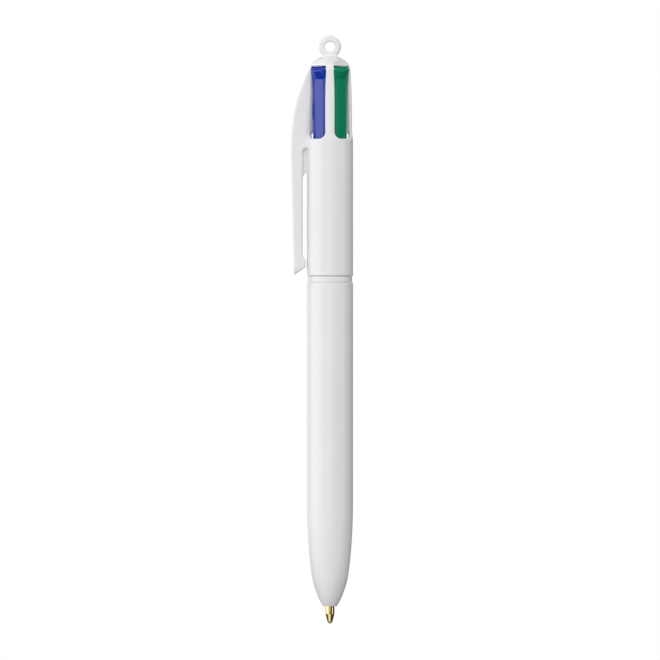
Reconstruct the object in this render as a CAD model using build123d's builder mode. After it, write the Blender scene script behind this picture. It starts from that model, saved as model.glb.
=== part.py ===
from build123d import *
import math
import os

# A four-colour ball pen that hangs point down from its lanyard eye.
# The origin is the centre of the eye, +Z runs up the pen and the clip is on the -X side.
# Every height below is measured up from the open end of the nose, and every size is in mm.

# ---- Driving dimensions ------------------------------------------------------------------

EYE_HEIGHT = 142.0  # nose end to the centre of the lanyard eye
BARREL_RADIUS = 5.84
SEAM_HEIGHT = 83.75  # where the two barrels meet
SEAM_GAP = 0.08

# Lower barrel
NOSE_RADIUS = 1.71
NOSE_CURVE = [(3.17, 2.8), (4.6, 7.7), (5.7, 20.0)]
NOSE_LENGTH = 38.0
NOSE_HOLE_RADIUS = 1.2
NOSE_HOLE_LENGTH = 1.3
FUNNEL = [(3.3, 4.9), (3.98, 7.4), (4.36, 11.0)]
LOWER_BORE_RADIUS = 4.75
LOWER_BORE_BOTTOM = 17.0
LOWER_BORE_TOP = 78.25
SPIGOT_BORE_BOTTOM = 80.25
BAND_HEIGHT = 1.5
BAND_RADIUS = 5.62
SPIGOT_RADIUS = 5.1
SPIGOT_BORE_RADIUS = 4.4
SPIGOT_LENGTH = 8.0
SPIGOT_CHAMFER = 0.3

# Upper barrel
SOCKET_RADIUS = 5.15
SOCKET_TOP = 92.4
BEAD_RADIUS = 4.7
BEAD_TOP = 92.9
UPPER_BORE_RADIUS = 4.95
UPPER_BORE_TOP = 114.5
THROAT_RADIUS = 4.7
THROAT_BOTTOM = 115.0
THROAT_TOP = 119.9
LANE_BORE_RADIUS = 4.2
LANE_BORE_BOTTOM = 120.4
WAIST_BOTTOM = 117.6
WAIST_CURVE = [(5.56, 120.9), (5.41, 131.0)]
SHOULDER_RADIUS = 5.05
SHOULDER_HEIGHT = 137.2
DOME_TOP = 139.7
DOME_SIDE = (3.4, 138.71)
SLOT_BOTTOM = 118.6
SLOT_TOP = 137.1
SLOT_BOTTOM_HALF = 2.95  # the slots narrow a little towards the top
SLOT_TOP_HALF = 2.68
SLOT_CORNER = 1.5
LINTEL_FACE = 3.65  # distance of the flat above each slot from the axis
LINTEL_SILL = 4.2
LINTEL_HEIGHT = 137.55

# Lanyard eye
EYE_RADIUS = 2.78
EYE_HOLE_RADIUS = 1.27
EYE_THICKNESS = 1.9
EYE_OUTER_ROUND = 0.6
EYE_HOLE_ROUND = 0.35
EYE_NECK_WIDTH = 3.6
EYE_NECK_TOP = 140.3
EYE_NECK_HEIGHT = 1.6

# Clip, seen from the side as (distance from the axis, height)
CLIP_BACK = [(-4.8, 137.4), (-7.4, 131.2), (-9.15, 124.7), (-9.9, 115.0)]
CLIP_BACK_SLOPES = [(-0.45, -1), (0, -1)]
CLIP_TIP = [(-9.2, 86.4), (-9.08, 85.2), (-8.8, 84.3)]
CLIP_BUMP = [(-6.27, 86.0), (-6.14, 87.3), (-6.86, 88.8)]
CLIP_CROTCH = [(-6.95, 114.4), (-6.6, 115.6), (-5.8, 116.3)]
CLIP_ROOT_DEPTH = -3.0
CLIP_TOP_HALF = 1.0
CLIP_WIDE_HALF = 1.65
CLIP_WIDE_HEIGHT = 116.5
CLIP_NARROW_HALF = 1.45
CLIP_NARROW_HEIGHT = 85.5
CLIP_TIP_HALF = 0.95
CLIP_TIP_HEIGHT = 84.0
WEB_THICKNESS = 1.4
WEB_END = [(-5.86, 110.2), (-6.65, 109.5), (-7.0, 108.4)]
WEB_BACK = -7.6
WEB_FRONT = -5.5
WEB_TOP = 117.0

# Pusher lanes, at quarter turns between the ribs
LANES = {"blue": 225, "green": 315, "red": 45, "black": 135}
PRESSED = "black"  # the colour whose point is out
TRAVEL = 9.2
LANE_RADIUS = 3.0  # axis of each refill and spring

# Pusher, at its heights when it is up
STRIP_HALF_WIDTH = 2.62
STRIP_INNER = 2.65
STRIP_OUTER = 3.72
PANEL_HALF_WIDTH = 1.66
PANEL_EDGE = 3.95
PANEL_CROWN = 4.0
STRIP_BOTTOM = 113.0
PUSHER_TOP = 137.0
HEAD_PROFILE = [(3.0, 133.2), (3.92, 133.3), (5.12, 135.25), (5.2, 135.7), (3.5, 136.97)]
HEAD_CROWN_RADIUS = 4.54
HEAD_CROWN_CENTRE = 0.66
FLANGE_RADIUS = 1.7
FLANGE_HEIGHT = 1.0
STEM_RADIUS = 1.2
STEM_BOTTOM = 111.0
PEG_RADIUS = 0.94
PEG_BOTTOM = 106.0
TOOTH_INNER = 2.0
TOOTH_HALF_WIDTH = 0.7
TOOTH_BOTTOM = 129.0
TOOTH_HEIGHT = 1.5

# Latch core, the square spine between the pushers
CORE_HALF_SIDE = 2.45
CORE_CHAMFER = 0.6
CORE_BOTTOM = 115.0
CORE_TOP = 136.9
CORE_STUB_RADIUS = 1.0
CORE_STUB_TOP = 138.4
CORE_SOCKET_CLEARANCE = 0.05
CORE_SOCKET_TOP = 138.5
CORE_ROD_RADIUS = 0.9
GROOVE_HALF_WIDTH = 0.9
GROOVE_FLOOR = 1.8
GROOVE_BOTTOM = 118.8
GROOVE_TOP = 131.5
CATCH_BOTTOM = 121.6
CATCH_HEIGHT = 0.6
CATCH_DEPTH = 0.15

# Spring retainer
RETAINER_RADIUS = 4.85
RETAINER_BOTTOM = 93.0
RETAINER_TOP = 95.5
RETAINER_HOLE_RADIUS = 1.45
RETAINER_ROD_CLEARANCE = 0.02
RETAINER_CHAMFER = 0.25

# Return spring
SPRING_RADIUS = 1.62
SPRING_WIRE_RADIUS = 0.16
SPRING_TURNS = 10
SPRING_SEAT_GAP = 0.03

# Refill, at its heights when its pusher is up
TUBE_RADIUS = 1.25
TUBE_BORE_RADIUS = 0.95
TUBE_BOTTOM = 20.2
RETRACTED_RADIUS = 2.6  # axis of a point that is drawn back into the nose
BEND_TOP = 75.0
BEND_BOTTOM = 37.0
BEND_SHARE = 0.45  # part of the shorter run that a bend's arc may use
INK_RADIUS = 0.92
INK_LEVELS = {"blue": 84.0, "green": 93.0, "red": 88.0, "black": 79.0}

# Refill point and ball, at heights above the lowest point of the ball
TIP_HEIGHT = 4.8  # of a point that is drawn back
BALL_RADIUS = 0.5
BALL_CLEARANCE = 0.02
LIP_RADIUS = 0.57
LIP_HEIGHT = 0.28
CONE_MIDDLE = (0.93, 1.4)
NEEDLE_RADIUS = 1.13
CONE_TOP = 2.4
NEEDLE_TOP = 13.9
COLLAR_BOTTOM = 14.3
COLLAR_TOP = TUBE_BOTTOM - TIP_HEIGHT
INSERT_LENGTH = 4.6
INSERT_TOP = COLLAR_TOP + INSERT_LENGTH
INK_CHANNEL_RADIUS = 0.4
INK_CHANNEL_BOTTOM = 0.9

FAR = 12.0  # reaches past the whole section of the pen


# ---- Planes ------------------------------------------------------------------------------


def level(height, angle=0):
    """The horizontal plane at a height, with its x direction turned to an angle."""
    turn = math.radians(angle)
    return Plane(
        origin=(0, 0, height - EYE_HEIGHT),
        x_dir=(math.cos(turn), math.sin(turn), 0),
        z_dir=(0, 0, 1),
    )


def section(angle=0, drop=0):
    """The upright plane through the axis: x is the radius at an angle and y is the height."""
    turn = math.radians(angle)
    return Plane(
        origin=(0, 0, -EYE_HEIGHT - drop),
        x_dir=(math.cos(turn), math.sin(turn), 0),
        z_dir=(math.sin(turn), -math.cos(turn), 0),
    )


def facing(angle, drop=0):
    """The upright plane square to a lane: x runs across the lane and y is the height."""
    turn = math.radians(angle)
    return Plane(
        origin=(0, 0, -EYE_HEIGHT - drop),
        x_dir=(-math.sin(turn), math.cos(turn), 0),
        z_dir=(math.cos(turn), math.sin(turn), 0),
    )


def lane_point(colour, radius, height):
    """A point in a colour's lane, at a distance from the axis and a height."""
    turn = math.radians(LANES[colour])
    return Vector(radius * math.cos(turn), radius * math.sin(turn), height - EYE_HEIGHT)


def drop_of(colour):
    """How far below its upper place a colour's pusher stands."""
    return TRAVEL if colour == PRESSED else 0


def point_radius(colour):
    """How far a colour's point stands from the axis: 0 where it is out through the nose."""
    return 0 if colour == PRESSED else RETRACTED_RADIUS


def save(piece, name):
    """Label a finished piece and write its STEP."""
    piece.label = name
    export_step(piece, f"parts/{name}.step")


os.makedirs("parts", exist_ok=True)

# ---- Lower barrel ------------------------------------------------------------------------

BAND_BOTTOM = SEAM_HEIGHT - BAND_HEIGHT
SPIGOT_TOP = SEAM_HEIGHT + SPIGOT_LENGTH

with BuildPart() as lower_barrel:
    with BuildSketch(section()):
        with BuildLine():
            nose = Spline(
                (NOSE_RADIUS, 0),
                *NOSE_CURVE,
                (BARREL_RADIUS, NOSE_LENGTH),
                tangents=[(0.6, 1), (0, 1)],
            )
            Polyline(
                nose @ 1,
                (BARREL_RADIUS, BAND_BOTTOM),
                (BAND_RADIUS, BAND_BOTTOM),
                (BAND_RADIUS, SEAM_HEIGHT),
                (SPIGOT_RADIUS, SEAM_HEIGHT),
                (SPIGOT_RADIUS, SPIGOT_TOP - SPIGOT_CHAMFER),
                (SPIGOT_RADIUS - SPIGOT_CHAMFER, SPIGOT_TOP),
                (SPIGOT_BORE_RADIUS, SPIGOT_TOP),
                (SPIGOT_BORE_RADIUS, SPIGOT_BORE_BOTTOM),
                (LOWER_BORE_RADIUS, LOWER_BORE_TOP),
                (LOWER_BORE_RADIUS, LOWER_BORE_BOTTOM),
                *reversed(FUNNEL),
                (NOSE_HOLE_RADIUS, NOSE_HOLE_LENGTH),
                (NOSE_HOLE_RADIUS, 0),
                nose @ 0,
            )
        make_face()
    revolve(axis=Axis.Z)
save(lower_barrel.part, "lower_barrel")

# ---- Clip, which is moulded with the upper barrel ----------------------------------------

with BuildPart() as clip:
    with BuildSketch(section()):
        with BuildLine():
            back = Spline(*CLIP_BACK, tangents=CLIP_BACK_SLOPES)
            tip = ThreePointArc(*CLIP_TIP)
            Line(back @ 1, tip @ 0)
            bump = ThreePointArc(*CLIP_BUMP)
            Line(tip @ 1, bump @ 0)
            crotch = ThreePointArc(*CLIP_CROTCH)
            Line(bump @ 1, crotch @ 0)
            Polyline(
                crotch @ 1,
                (CLIP_ROOT_DEPTH, CLIP_CROTCH[-1][1]),
                (CLIP_ROOT_DEPTH, CLIP_BACK[0][1]),
                back @ 0,
            )
        make_face()
    extrude(amount=CLIP_WIDE_HALF, both=True)
    with BuildSketch(facing(180)):
        with BuildLine():
            Polyline(
                (CLIP_TOP_HALF, DOME_TOP),
                (CLIP_TOP_HALF, SLOT_TOP),
                (CLIP_WIDE_HALF, CLIP_WIDE_HEIGHT),
                (CLIP_NARROW_HALF, CLIP_NARROW_HEIGHT),
                (CLIP_TIP_HALF, CLIP_TIP_HEIGHT),
                (0, CLIP_TIP_HEIGHT),
                (0, DOME_TOP),
                close=True,
            )
        make_face()
        mirror(about=Plane.YZ)
    extrude(amount=FAR, mode=Mode.INTERSECT)

# ---- Lanyard eye, which is moulded with the upper barrel too -----------------------------

with BuildPart() as eye:
    with BuildSketch(Plane.XZ):
        Circle(EYE_RADIUS)
        Circle(EYE_HOLE_RADIUS, mode=Mode.SUBTRACT)
    extrude(amount=EYE_THICKNESS / 2, both=True)
    outer_rims = eye.edges().filter_by(GeomType.CIRCLE)
    fillet(outer_rims.filter_by(lambda edge: edge.radius == EYE_RADIUS), EYE_OUTER_ROUND)
    hole_rims = eye.edges().filter_by(GeomType.CIRCLE)
    fillet(hole_rims.filter_by(lambda edge: edge.radius == EYE_HOLE_RADIUS), EYE_HOLE_ROUND)

# ---- Upper barrel ------------------------------------------------------------------------

with BuildPart() as upper_barrel:
    with BuildSketch(section()):
        with BuildLine():
            Polyline(
                (0, SEAM_HEIGHT + SEAM_GAP),
                (BARREL_RADIUS, SEAM_HEIGHT + SEAM_GAP),
                (BARREL_RADIUS, WAIST_BOTTOM),
            )
            waist = Spline(
                (BARREL_RADIUS, WAIST_BOTTOM),
                *WAIST_CURVE,
                (SHOULDER_RADIUS, SHOULDER_HEIGHT),
                tangents=[(0, 1), (-0.09, 1)],
            )
            ThreePointArc(waist @ 1, DOME_SIDE, (0, DOME_TOP))
            Line((0, DOME_TOP), (0, SEAM_HEIGHT + SEAM_GAP))
        make_face()
    revolve(axis=Axis.Z)
    add(clip.part)
    with BuildSketch(section()):
        with BuildLine():
            end = ThreePointArc(*WEB_END)
            Polyline(
                end @ 1,
                (WEB_BACK, WEB_END[-1][1]),
                (WEB_BACK, WEB_TOP),
                (WEB_FRONT, WEB_TOP),
                (WEB_FRONT, WEB_END[0][1]),
                end @ 0,
            )
        make_face()
    extrude(amount=WEB_THICKNESS / 2, both=True)
    # The stepped bore, from the socket of the lower barrel up to the slots
    with BuildSketch(section()):
        with BuildLine():
            Polyline(
                (0, SEAM_HEIGHT),
                (SOCKET_RADIUS, SEAM_HEIGHT),
                (SOCKET_RADIUS, SOCKET_TOP),
                (BEAD_RADIUS, SOCKET_TOP),
                (BEAD_RADIUS, BEAD_TOP),
                (UPPER_BORE_RADIUS, BEAD_TOP),
                (UPPER_BORE_RADIUS, UPPER_BORE_TOP),
                (THROAT_RADIUS, THROAT_BOTTOM),
                (THROAT_RADIUS, THROAT_TOP),
                (LANE_BORE_RADIUS, LANE_BORE_BOTTOM),
                (LANE_BORE_RADIUS, SLOT_TOP),
                (CORE_STUB_RADIUS + CORE_SOCKET_CLEARANCE, SLOT_TOP),
                (CORE_STUB_RADIUS + CORE_SOCKET_CLEARANCE, CORE_SOCKET_TOP),
                (0, CORE_SOCKET_TOP),
                close=True,
            )
        make_face()
    revolve(axis=Axis.Z, mode=Mode.SUBTRACT)
    for lane_angle in LANES.values():
        # The slot that the pusher runs in
        with BuildSketch(facing(lane_angle)) as slot:
            with BuildLine():
                Polyline(
                    (-SLOT_BOTTOM_HALF, SLOT_BOTTOM),
                    (SLOT_BOTTOM_HALF, SLOT_BOTTOM),
                    (SLOT_TOP_HALF, SLOT_TOP),
                    (-SLOT_TOP_HALF, SLOT_TOP),
                    close=True,
                )
            make_face()
            fillet(slot.vertices().group_by(Axis.Y)[0], SLOT_CORNER)
        extrude(amount=FAR, mode=Mode.SUBTRACT)
        # The flat above the slot, with its sloping sill
        with BuildSketch(section(lane_angle)):
            with BuildLine():
                Polyline(
                    (LINTEL_SILL, SLOT_TOP),
                    (LINTEL_FACE, LINTEL_HEIGHT),
                    (LINTEL_FACE, DOME_TOP),
                    (FAR, DOME_TOP),
                    (FAR, SLOT_TOP),
                    close=True,
                )
            make_face()
        extrude(amount=FAR, both=True, mode=Mode.SUBTRACT)
    # The neck under the lanyard eye, and the eye
    with BuildSketch(level(EYE_NECK_TOP)):
        RectangleRounded(EYE_NECK_WIDTH, EYE_THICKNESS, EYE_OUTER_ROUND)
    extrude(amount=-EYE_NECK_HEIGHT)
    add(eye.part)
save(upper_barrel.part, "upper_barrel")

# ---- Latch core --------------------------------------------------------------------------

with BuildPart() as latch_core:
    with BuildSketch(level(CORE_BOTTOM, LANES["red"])) as square:
        Rectangle(2 * CORE_HALF_SIDE, 2 * CORE_HALF_SIDE)
        chamfer(square.vertices(), CORE_CHAMFER)
    extrude(amount=CORE_TOP - CORE_BOTTOM)
    with BuildSketch(level(RETAINER_BOTTOM)):
        Circle(CORE_ROD_RADIUS)
    extrude(amount=CORE_BOTTOM - RETAINER_BOTTOM)
    with BuildSketch(level(CORE_TOP)):
        Circle(CORE_STUB_RADIUS)
    extrude(amount=CORE_STUB_TOP - CORE_TOP)
    for lane_angle in LANES.values():
        # The groove that the pusher's tooth runs in, with the catch that it rests under
        with BuildSketch(section(lane_angle)):
            with BuildLine():
                Polyline(
                    (GROOVE_FLOOR, GROOVE_BOTTOM),
                    (GROOVE_FLOOR, CATCH_BOTTOM),
                    (GROOVE_FLOOR + CATCH_DEPTH, CATCH_BOTTOM),
                    (GROOVE_FLOOR, CATCH_BOTTOM + CATCH_HEIGHT),
                    (GROOVE_FLOOR, GROOVE_TOP),
                    (FAR, GROOVE_TOP),
                    (FAR, GROOVE_BOTTOM),
                    close=True,
                )
            make_face()
        extrude(amount=GROOVE_HALF_WIDTH, both=True, mode=Mode.SUBTRACT)
save(latch_core.part, "latch_core")

# ---- Spring retainer ---------------------------------------------------------------------

with BuildPart() as spring_retainer:
    with BuildSketch(level(RETAINER_BOTTOM)):
        Circle(RETAINER_RADIUS)
        Circle(CORE_ROD_RADIUS + RETAINER_ROD_CLEARANCE, mode=Mode.SUBTRACT)
        with PolarLocations(LANE_RADIUS, len(LANES), start_angle=min(LANES.values())):
            Circle(RETAINER_HOLE_RADIUS, mode=Mode.SUBTRACT)
    extrude(amount=RETAINER_TOP - RETAINER_BOTTOM)
    rims = spring_retainer.edges().filter_by(GeomType.CIRCLE)
    chamfer(rims.filter_by(lambda edge: edge.radius == RETAINER_RADIUS), RETAINER_CHAMFER)
save(spring_retainer.part, "spring_retainer")


# ---- The four colours --------------------------------------------------------------------


def refill_line(colour):
    """The line down the middle of a refill's tube, from its pusher's stem to its point."""
    drop = drop_of(colour)
    end_radius = point_radius(colour)
    turn = math.atan((LANE_RADIUS - end_radius) / (BEND_TOP - BEND_BOTTOM))
    shorter_run = BEND_BOTTOM - TUBE_BOTTOM
    return FilletPolyline(
        lane_point(colour, LANE_RADIUS, STEM_BOTTOM - drop),
        lane_point(colour, LANE_RADIUS, BEND_TOP - drop),
        lane_point(colour, end_radius, BEND_BOTTOM - drop),
        lane_point(colour, end_radius, TUBE_BOTTOM - drop),
        radius=BEND_SHARE * shorter_run / math.tan(turn / 2),
    )


def make_pusher(colour):
    """The coloured slider, with its thumb head, latch tooth, flange, stem and peg."""
    angle = LANES[colour]
    drop = drop_of(colour)
    with BuildPart() as pusher:
        with BuildSketch(level(STRIP_BOTTOM - drop, angle)):
            with BuildLine():
                crown = ThreePointArc(
                    (PANEL_EDGE, -PANEL_HALF_WIDTH),
                    (PANEL_CROWN, 0),
                    (PANEL_EDGE, PANEL_HALF_WIDTH),
                )
                Polyline(
                    crown @ 1,
                    (STRIP_OUTER, PANEL_HALF_WIDTH),
                    (STRIP_OUTER, STRIP_HALF_WIDTH),
                    (STRIP_INNER, STRIP_HALF_WIDTH),
                    (STRIP_INNER, -STRIP_HALF_WIDTH),
                    (STRIP_OUTER, -STRIP_HALF_WIDTH),
                    (STRIP_OUTER, -PANEL_HALF_WIDTH),
                    crown @ 0,
                )
            make_face()
        extrude(amount=PUSHER_TOP - STRIP_BOTTOM)
        with BuildSketch(section(angle, drop)):
            with BuildLine():
                Polyline(*HEAD_PROFILE, (HEAD_PROFILE[0][0], PUSHER_TOP), close=True)
            make_face()
        extrude(amount=STRIP_HALF_WIDTH, both=True)
        with BuildSketch(level(STRIP_BOTTOM - drop, angle)):
            with Locations((HEAD_CROWN_CENTRE, 0)):
                Circle(HEAD_CROWN_RADIUS)
        extrude(amount=PUSHER_TOP - STRIP_BOTTOM, mode=Mode.INTERSECT)
        with BuildSketch(section(angle, drop)):
            with Locations(((TOOTH_INNER + STRIP_INNER) / 2, TOOTH_BOTTOM + TOOTH_HEIGHT / 2)):
                Rectangle(STRIP_INNER - TOOTH_INNER, TOOTH_HEIGHT)
        extrude(amount=TOOTH_HALF_WIDTH, both=True)
        for radius, bottom, top in (
            (FLANGE_RADIUS, STRIP_BOTTOM, STRIP_BOTTOM + FLANGE_HEIGHT),
            (STEM_RADIUS, STEM_BOTTOM, STRIP_BOTTOM),
            (PEG_RADIUS, PEG_BOTTOM, STEM_BOTTOM),
        ):
            with BuildSketch(level(bottom - drop, angle)):
                with Locations((LANE_RADIUS, 0)):
                    Circle(radius)
            extrude(amount=top - bottom)
    return pusher.part


def make_spring(colour):
    """The return spring, from the retainer up to the pusher's flange."""
    bottom = RETAINER_TOP + SPRING_WIRE_RADIUS + SPRING_SEAT_GAP
    top = STRIP_BOTTOM - drop_of(colour) - SPRING_WIRE_RADIUS - SPRING_SEAT_GAP
    centre = lane_point(colour, LANE_RADIUS, bottom)
    with BuildPart() as spring:
        with BuildLine(Plane(centre)) as coil:
            Helix(
                pitch=(top - bottom) / SPRING_TURNS,
                height=top - bottom,
                radius=SPRING_RADIUS,
            )
        with BuildSketch(Plane(coil.line @ 0, z_dir=coil.line % 0)):
            Circle(SPRING_WIRE_RADIUS)
        sweep(path=coil.line, is_frenet=True)
    return spring.part


def make_tube(colour):
    """The plastic tube that holds the ink."""
    with BuildPart() as tube:
        with BuildLine() as middle:
            refill_line(colour)
        with BuildSketch(Plane(middle.line @ 0, z_dir=middle.line % 0)):
            Circle(TUBE_RADIUS)
            Circle(TUBE_BORE_RADIUS, mode=Mode.SUBTRACT)
        sweep(path=middle.line)
    return tube.part


def make_ink(colour):
    """The ink in the tube, from the point's insert up to its level."""
    drop = drop_of(colour)
    with BuildPart() as ink:
        with BuildLine() as middle:
            refill_line(colour)
        with BuildSketch(Plane(middle.line @ 0, z_dir=middle.line % 0)):
            Circle(INK_RADIUS)
        sweep(path=middle.line)
        split(bisect_by=level(INK_LEVELS[colour] - drop), keep=Keep.BOTTOM)
        split(bisect_by=level(TIP_HEIGHT + INSERT_TOP + BALL_CLEARANCE - drop), keep=Keep.TOP)
    return ink.part


def make_point(colour):
    """The brass point: seat and cone, needle, collar, and the insert in the tube."""
    drop = drop_of(colour)
    foot = section(LANES[colour], drop).location * Pos(point_radius(colour), TIP_HEIGHT, 0)
    with BuildPart() as point:
        with BuildSketch(Plane(foot)):
            with BuildLine():
                cone = ThreePointArc(
                    (LIP_RADIUS, LIP_HEIGHT), CONE_MIDDLE, (NEEDLE_RADIUS, CONE_TOP)
                )
                Polyline(
                    cone @ 1,
                    (NEEDLE_RADIUS, NEEDLE_TOP),
                    (TUBE_RADIUS, COLLAR_BOTTOM),
                    (TUBE_RADIUS, COLLAR_TOP),
                    (PEG_RADIUS, COLLAR_TOP),
                    (PEG_RADIUS, INSERT_TOP),
                    (INK_CHANNEL_RADIUS, INSERT_TOP),
                    (INK_CHANNEL_RADIUS, INK_CHANNEL_BOTTOM),
                    (0, INK_CHANNEL_BOTTOM),
                    (0, LIP_HEIGHT),
                    cone @ 0,
                )
            make_face()
        revolve(axis=Axis(foot.position, (0, 0, 1)))
        with Locations(foot.position + Vector(0, 0, BALL_RADIUS)):
            Sphere(BALL_RADIUS + BALL_CLEARANCE, mode=Mode.SUBTRACT)
    return point.part


def make_ball(colour):
    """The ball in the seat of the point."""
    height = TIP_HEIGHT - drop_of(colour) + BALL_RADIUS
    with BuildPart() as ball:
        with Locations(lane_point(colour, point_radius(colour), height)):
            Sphere(BALL_RADIUS)
    return ball.part


for colour in LANES:
    save(make_pusher(colour), f"{colour}_pusher")
    save(make_spring(colour), f"{colour}_spring")
    save(make_tube(colour), f"{colour}_refill_tube")
    save(make_ink(colour), f"{colour}_ink")
    save(make_point(colour), f"{colour}_refill_point")
    save(make_ball(colour), f"{colour}_ball")
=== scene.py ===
import math

import bpy
import numpy as np
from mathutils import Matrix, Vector


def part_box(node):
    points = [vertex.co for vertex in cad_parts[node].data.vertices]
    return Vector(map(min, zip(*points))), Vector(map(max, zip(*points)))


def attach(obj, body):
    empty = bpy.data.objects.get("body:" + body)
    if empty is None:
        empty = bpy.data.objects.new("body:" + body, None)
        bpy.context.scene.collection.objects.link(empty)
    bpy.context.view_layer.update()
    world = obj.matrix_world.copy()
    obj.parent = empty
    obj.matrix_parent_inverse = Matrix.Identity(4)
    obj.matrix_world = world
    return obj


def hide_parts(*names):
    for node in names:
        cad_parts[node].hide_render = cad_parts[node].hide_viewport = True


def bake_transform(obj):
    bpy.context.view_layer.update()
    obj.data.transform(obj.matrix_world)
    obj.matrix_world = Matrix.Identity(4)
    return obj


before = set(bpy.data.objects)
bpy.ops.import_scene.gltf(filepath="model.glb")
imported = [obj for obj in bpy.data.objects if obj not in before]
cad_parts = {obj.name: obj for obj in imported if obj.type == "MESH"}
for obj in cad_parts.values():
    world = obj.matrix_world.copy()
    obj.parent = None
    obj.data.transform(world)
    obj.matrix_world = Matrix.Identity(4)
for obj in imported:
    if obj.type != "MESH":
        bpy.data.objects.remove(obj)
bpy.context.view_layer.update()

# A four-colour ball pen, point down. Lengths are in millimetres until a mesh is made, and a
# height is measured up from the open end of the nose, as in the CAD model.

MM = 0.001

# ---- Measures taken from the frame -------------------------------------------------------

EYE_HEIGHT = -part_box("lower_barrel")[0].z / MM
BARREL_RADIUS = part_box("lower_barrel")[1].x / MM


def low(node):
    """Lowest height of a node."""
    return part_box(node)[0].z / MM + EYE_HEIGHT


def high(node):
    """Highest height of a node."""
    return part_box(node)[1].z / MM + EYE_HEIGHT


def middle(node):
    """Middle of a node's box, across the pen."""
    corner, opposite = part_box(node)
    return np.array([corner.x + opposite.x, corner.y + opposite.y]) / 2 / MM


COLOURS = ("blue", "green", "red", "black")
LANE_ANGLE = {c: math.atan2(*middle(f"{c}_pusher")[::-1]) for c in COLOURS}
PUSHER_TOP = max(high(f"{c}_pusher") for c in COLOURS)
DROP = {c: PUSHER_TOP - high(f"{c}_pusher") for c in COLOURS}
SEAM_HEIGHT = low("upper_barrel")
SPIGOT_TOP = high("lower_barrel")
EYE_RADIUS = high("upper_barrel") - EYE_HEIGHT

# ---- Shape of the upper barrel -----------------------------------------------------------

WAIST_BOTTOM, WAIST_TOP = 117.6, 121.0
WAIST_STEP = 0.28
WAIST_TAPER = 0.51
SHOULDER_HEIGHT = 137.2
DOME_RADIUS = 6.35
DOME_TOP = 139.7
SLOT_BOTTOM, SLOT_TOP = 118.6, 137.1
SLOT_BOTTOM_HALF, SLOT_TOP_HALF = 2.8, 2.67
SLOT_CORNER = 1.5
SLOT_EDGE, LINTEL_EDGE = 0.5, 0.12  # rounding of the edges of a slot and of the flat above it
SLOT_EDGE_CHANGE = (SLOT_TOP - 1.6, SLOT_TOP - 0.4)  # heights where one gives way to the other
LINTEL_FACE, LINTEL_SILL = 3.65, 4.2
LINTEL_HEIGHT = 137.55
SOCKET_RADIUS, SOCKET_TOP = 5.15, 92.4
BEAD_RADIUS, BEAD_TOP = 4.7, 92.9
UPPER_BORE_RADIUS, UPPER_BORE_TOP = 4.95, 114.8
THROAT_RADIUS, THROAT_TOP = 4.7, 119.9
LANE_BORE_RADIUS = 4.2
STUB_HOLE_RADIUS, STUB_HOLE_TOP = 1.05, 138.5
EYE_HOLE_RADIUS = 1.27
EYE_HALF_THICKNESS, EYE_EDGE, EYE_MOUTH_EDGE = 0.95, 0.6, 0.35
NECK_HALF_WIDTH, NECK_BOTTOM, NECK_TOP = 1.8, 138.7, 140.3
NECK_EDGE, NECK_OVERLAP, NECK_FILLET = 0.4, 0.5, 0.2
DOME_EDGE, SEAM_EDGE = 0.5, 0.07
CLIP_FILLET, WEB_FILLET, EYE_FILLET = 0.15, 0.1, 0.35  # where each joins the barrel
BORE_FILLET, BORE_EDGE = 0.2, 0.1

CLIP_BACK = [(115.0, -9.9), (124.7, -9.15), (131.2, -7.4), (137.4, -4.8)]
CLIP_BACK_TIP = (86.4, -9.2)
CLIP_FACE, CLIP_ROOT_BOTTOM = -6.93, 116.2
CLIP_HALF_WIDTH = [(84.0, 0.95), (85.5, 1.45), (116.5, 1.65), (137.1, 1.0)]
CLIP_TIP_LOW, CLIP_TIP_NEAR = (-8.8, 84.3), (-6.27, 86.0)
CLIP_ROOT_FILLET, CLIP_BUMP_FILLET = 1.0, 0.15
CLIP_EDGE, CLIP_BACK_EDGE, CLIP_TIP_EDGE = 0.4, 0.2, 0.12
BUMP_CENTRE, BUMP_RADIUS = (-8.863, 86.916), 2.75
WEB_HALF_THICKNESS, WEB_EDGE = 0.7, 0.1
WEB_BOTTOM, WEB_OUTER = 108.3, -7.6
WEB_HOLLOW_CENTRE, WEB_HOLLOW_RADIUS = (-5.0, 108.3), 2.03

# ---- Shape of a pusher that is up --------------------------------------------------------

STRIP_HALF_WIDTH = 2.62
STRIP_INNER, STRIP_OUTER = 2.65, 3.72
STRIP_BOTTOM = 113.0
PANEL_HALF_WIDTH, PANEL_CROWN, PANEL_CROWN_RADIUS = 1.66, 4.0, 27.0
PANEL_TOP = 133.55
PANEL_CORNER, PANEL_EDGE, PANEL_FILLET = 0.9, 0.15, 0.12
HEAD_BOTTOM, HEAD_BROW = 133.2, 135.75  # the head flares from its bottom up to its brow
HEAD_FOOT, HEAD_REACH = 3.86, 5.2
HEAD_FOOT_SAG, HEAD_BROW_SAG = 0.14, 0.95  # how far its sides stand back from its middle
HEAD_TOP = [(5.2, 135.7), (3.5, 136.97), (3.0, 137.0)]
HEAD_ROUND, HEAD_FILLET = 0.16, 0.25
HEAD_FLARE_POWER, HEAD_FLARE_END = 1.15, 1.3
STRIP_EDGE, HEAD_EDGE = 0.5, 0.2
HEAD_EDGE_CHANGE = (HEAD_BOTTOM - 0.8, HEAD_BOTTOM + 0.4)
HEAD_FACE_SLOPE = math.cos(math.atan2(HEAD_REACH - HEAD_FOOT, HEAD_BROW - HEAD_BOTTOM))
TOOTH_INNER, TOOTH_BOTTOM, TOOTH_TOP, TOOTH_HALF_WIDTH = 2.0, 129.0, 130.5, 0.7
TOOTH_OVERLAP, INNER_EDGE = 0.5, 0.1
LANE_RADIUS = 3.0
FLANGE = (1.7, 113.0, 114.0)  # radius, bottom and top, as for the stem and the peg
STEM = (1.2, 111.0, 113.5)
PEG = (0.94, 106.0, 111.5)


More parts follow.
